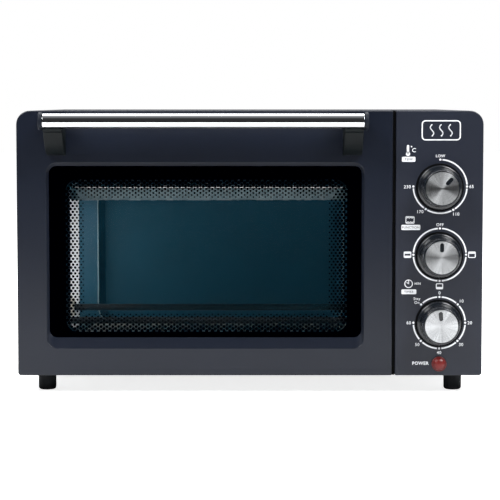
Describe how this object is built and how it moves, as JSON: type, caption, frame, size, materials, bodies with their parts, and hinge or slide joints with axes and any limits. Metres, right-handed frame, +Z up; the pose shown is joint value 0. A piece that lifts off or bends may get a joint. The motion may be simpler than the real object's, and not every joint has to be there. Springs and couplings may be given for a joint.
{
  "type": "toaster oven",
  "caption": "Countertop toaster oven with a drop-down glass door, tube handle, dial knobs and a pilot lamp.",
  "frame": {"origin": "middle of the object's box in plan, on the surface that the feet stand on", "axes": "+X to the oven's right as seen from its front, +Y towards its back, +Z up"},
  "size_m": [0.405, 0.3268, 0.247],
  "materials": {
    "body_paint": "satin",
    "black_plastic": "satin",
    "polished_tube": "polished",
    "knob_metal": "brushed",
    "zinc_sheet": "satin",
    "enamel": "gloss",
    "door_glass": "polished",
    "heater_sheath": "matte",
    "ceramic": "matte",
    "red_lens": "gloss",
    "rubber": "matte"
  },
  "bodies": {
    "body": {"outer_cover": "body_paint", "base_plate": "zinc_sheet", "rear_panel": "zinc_sheet", "front_frame": "zinc_sheet", "cord_inlet": "black_plastic", "foot_front_left": "rubber", "foot_front_right": "rubber", "foot_rear_left": "rubber", "foot_rear_right": "rubber", "hinge_plate_left": "zinc_sheet", "hinge_plate_right": "zinc_sheet", "door_spring_left": "zinc_sheet", "door_spring_right": "zinc_sheet", "cavity_wall_left": "zinc_sheet", "cavity_wall_right": "zinc_sheet", "cavity_ceiling": "zinc_sheet", "heater_lower_front": "heater_sheath", "bush_lower_front_left": "ceramic", "bush_lower_front_right": "ceramic", "heater_lower_rear": "heater_sheath", "bush_lower_rear_left": "ceramic", "bush_lower_rear_right": "ceramic", "heater_upper_front": "heater_sheath", "bush_upper_front_left": "ceramic", "bush_upper_front_right": "ceramic", "heater_upper_rear": "heater_sheath", "bush_upper_rear_left": "ceramic", "bush_upper_rear_right": "ceramic", "crumb_tray": "zinc_sheet", "control_panel": "body_paint", "thermostat": "ceramic", "function_switch": "black_plastic", "timer": "zinc_sheet", "timer_bell": "knob_metal", "pilot_lens": "red_lens", "pilot_lamp": "door_glass", "terminal_block": "ceramic"},
    "door": {"door_frame": "body_paint", "door_glass": "door_glass", "door_liner": "body_paint", "handle_bar": "polished_tube", "handle_cap_left": "black_plastic", "handle_cap_right": "black_plastic", "handle_bracket_left": "black_plastic", "handle_bracket_right": "black_plastic", "hinge_pin_left": "zinc_sheet", "hinge_pin_right": "zinc_sheet"},
    "rack": {"wire_rack": "polished_tube", "baking_pan": "enamel"},
    "temperature_dial": {"temperature_knob": "black_plastic", "temperature_knob_cap": "knob_metal", "temperature_shaft": "zinc_sheet"},
    "function_dial": {"function_knob": "black_plastic", "function_knob_cap": "knob_metal", "function_shaft": "zinc_sheet"},
    "timer_dial": {"timer_knob": "black_plastic", "timer_knob_cap": "knob_metal", "timer_shaft": "zinc_sheet"}
  },
  "joints": [
    {"name": "door_hinge", "type": "hinge", "parent": "body", "child": "door", "pos_m": [-0.039, -0.11513, 0.021], "axis": [1, 0, 0], "range_deg": [0, 80], "stiffness_Nm_per_rad": 0.6, "springref_deg": -28.65},
    {"name": "rack_slide", "type": "slide", "parent": "body", "child": "rack", "axis": [0, -1, 0], "range_m": [0, 0.085]},
    {"name": "temperature_turn", "type": "hinge", "parent": "body", "child": "temperature_dial", "pos_m": [0.1648, -0.12662, 0.1805], "axis": [0, 1, 0], "range_deg": [-45, 225]},
    {"name": "function_turn", "type": "hinge", "parent": "body", "child": "function_dial", "pos_m": [0.1648, -0.12662, 0.1211], "axis": [0, 1, 0], "range_deg": [0, 270]},
    {"name": "timer_turn", "type": "hinge", "parent": "body", "child": "timer_dial", "pos_m": [0.1648, -0.12662, 0.0619], "axis": [0, 1, 0], "range_deg": [-41, 274]}
  ],
  "couplings": [
    {"joint": "rack_slide", "follows": "door_hinge", "m_per_rad": 0.06}
  ]
}
